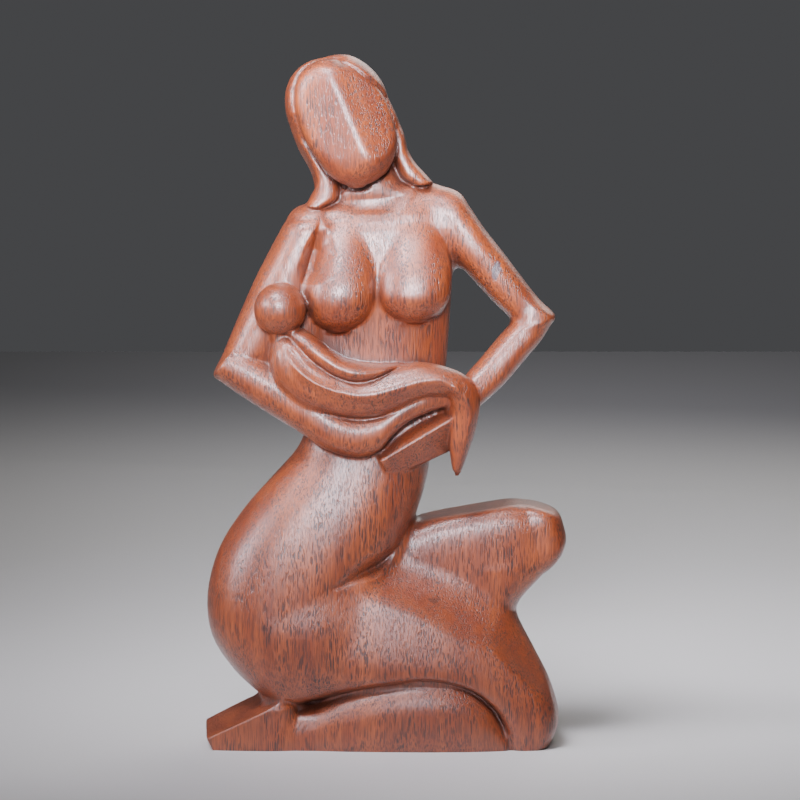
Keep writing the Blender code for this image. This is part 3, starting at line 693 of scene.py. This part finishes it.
def polished_hardwood():
    """Reddish hardwood, waxed to a satin shine, with shade painted into its colour in the creases."""
    material = bpy.data.materials.new("polished_hardwood")
    material.use_nodes = True
    tree = material.node_tree
    shader = tree.nodes["Principled BSDF"]
    grain = placed(tree, "ShaderNodeGroup", node_tree=grain_group()).outputs
    pores = placed(tree, "ShaderNodeGroup", node_tree=pores_group()).outputs["Mask"]
    hollow = placed(tree, "ShaderNodeAttribute", attribute_name="hollow").outputs["Fac"]
    colour = mixed(tree, grain["Bands"], WOOD_LIGHT, WOOD_RED)
    colour = mixed(tree, sum_of(tree, "MULTIPLY", grain["Fibre"], FIBRE_SHARE), colour, WOOD_DARK)
    colour = mixed(tree, sum_of(tree, "MULTIPLY", grain["Clouds"], CLOUD_SHARE), colour, WOOD_DARK)
    colour = mixed(tree, sum_of(tree, "MULTIPLY", pores, PORE_SHARE), colour, PORE_DARK)
    marks = mark_group()
    for tone, *numbers in MARKS:
        mark = placed(tree, "ShaderNodeGroup", node_tree=marks)
        for name, value in zip(("Side", "Height", "Half width", "Half height"), numbers):
            mark.inputs[name].default_value = value
        colour = mixed(tree, sum_of(tree, "MULTIPLY", mark.outputs["Mask"], MARK_SHARE), colour, tone)
    # Painted shade: the colour is darkened in creases and hollows by how deep each vertex lies in one
    colour = mixed(tree, stepped(tree, hollow, 0.15, 0.85, 0.0, PAINTED_SHADE_SHARE), colour, PAINTED_CREASE_SHADE)
    tree.links.new(colour, shader.inputs["Base Color"])
    dull = sum_of(tree, "MULTIPLY_ADD", hollow, HOLLOW_ROUGHNESS, OPEN_ROUGHNESS)
    dull = sum_of(tree, "MULTIPLY_ADD", pores, PORE_ROUGHNESS, dull)
    tree.links.new(dull, shader.inputs["Roughness"])
    shader.inputs["Specular IOR Level"].default_value = WOOD_SHINE
    shader.inputs["Coat Roughness"].default_value = WAX_ROUGHNESS
    shader.inputs["Coat IOR"].default_value = WAX_BEND
    shader.inputs["Coat Weight"].default_value = 1.0
    height = sum_of(tree, "MULTIPLY", pores, -1.0)
    height = sum_of(tree, "MULTIPLY_ADD", grain["Fibre"], -FIBRE_RELIEF, height)
    bump = placed(tree, "ShaderNodeBump")
    bump.inputs["Strength"].default_value = RELIEF_SEEN
    bump.inputs["Distance"].default_value = PORE_DEPTH
    tree.links.new(height, bump.inputs["Height"])
    tree.links.new(bump.outputs["Normal"], shader.inputs["Normal"])
    tree.links.new(bump.outputs["Normal"], shader.inputs["Coat Normal"])
    return material


def camera():
    """A long lens in front of the figure, a little above its middle."""
    lens = bpy.data.cameras.new("camera")
    lens.lens = CAMERA_LENS
    lens.sensor_width = SENSOR_WIDTH
    lens.clip_end = FARTHEST_SEEN
    viewer = bpy.data.objects.new("camera", lens)
    way = Vector((0, -math.cos(CAMERA_RISE), math.sin(CAMERA_RISE)))
    viewer.location = CAMERA_AIM + way * CAMERA_DISTANCE
    viewer.rotation_euler = (-way).to_track_quat("-Z", "Y").to_euler()
    bpy.context.scene.collection.objects.link(viewer)
    bpy.context.scene.camera = viewer


def soft_light(name, place, size, watts, colour, spread, lit_height):
    """A square light, narrowed to a spread in degrees, aimed at a height above the middle of the floor."""
    lamp = bpy.data.lights.new(name, "AREA")
    lamp.shape = "SQUARE"
    lamp.size = size
    lamp.energy = watts
    lamp.color = colour
    lamp.spread = math.radians(spread)
    holder = bpy.data.objects.new(name, lamp)
    holder.location = place
    way = Vector((0, 0, lit_height)) - Vector(place)
    holder.rotation_euler = way.to_track_quat("-Z", "Y").to_euler()
    bpy.context.scene.collection.objects.link(holder)


def studio():
    """A pale floor in a dim room, and soft light from above, from the left and in front."""
    bpy.ops.object.select_all(action="DESELECT")
    bpy.ops.mesh.primitive_plane_add(size=FLOOR_WIDTH, location=(0, 0, 0))
    floor = bpy.context.object
    floor.name = "floor"
    paint = bpy.data.materials.new("pale_floor")
    paint.use_nodes = True
    shader = paint.node_tree.nodes["Principled BSDF"]
    shader.inputs["Base Color"].default_value = FLOOR_PALE
    shader.inputs["Roughness"].default_value = FLOOR_ROUGHNESS
    floor.data.materials.append(paint)
    for light in LIGHTS:
        soft_light(*light)
    world = bpy.data.worlds.new("studio")
    world.use_nodes = True
    room = world.node_tree.nodes["Background"]
    room.inputs["Color"].default_value = ROOM_COLOUR
    room.inputs["Strength"].default_value = ROOM_STRENGTH
    bpy.context.scene.world = world


camera()
studio()
carving = carved_wood()
carving.data.materials.clear()
carving.data.materials.append(polished_hardwood())
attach(carving, "root")
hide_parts("mother_and_child")
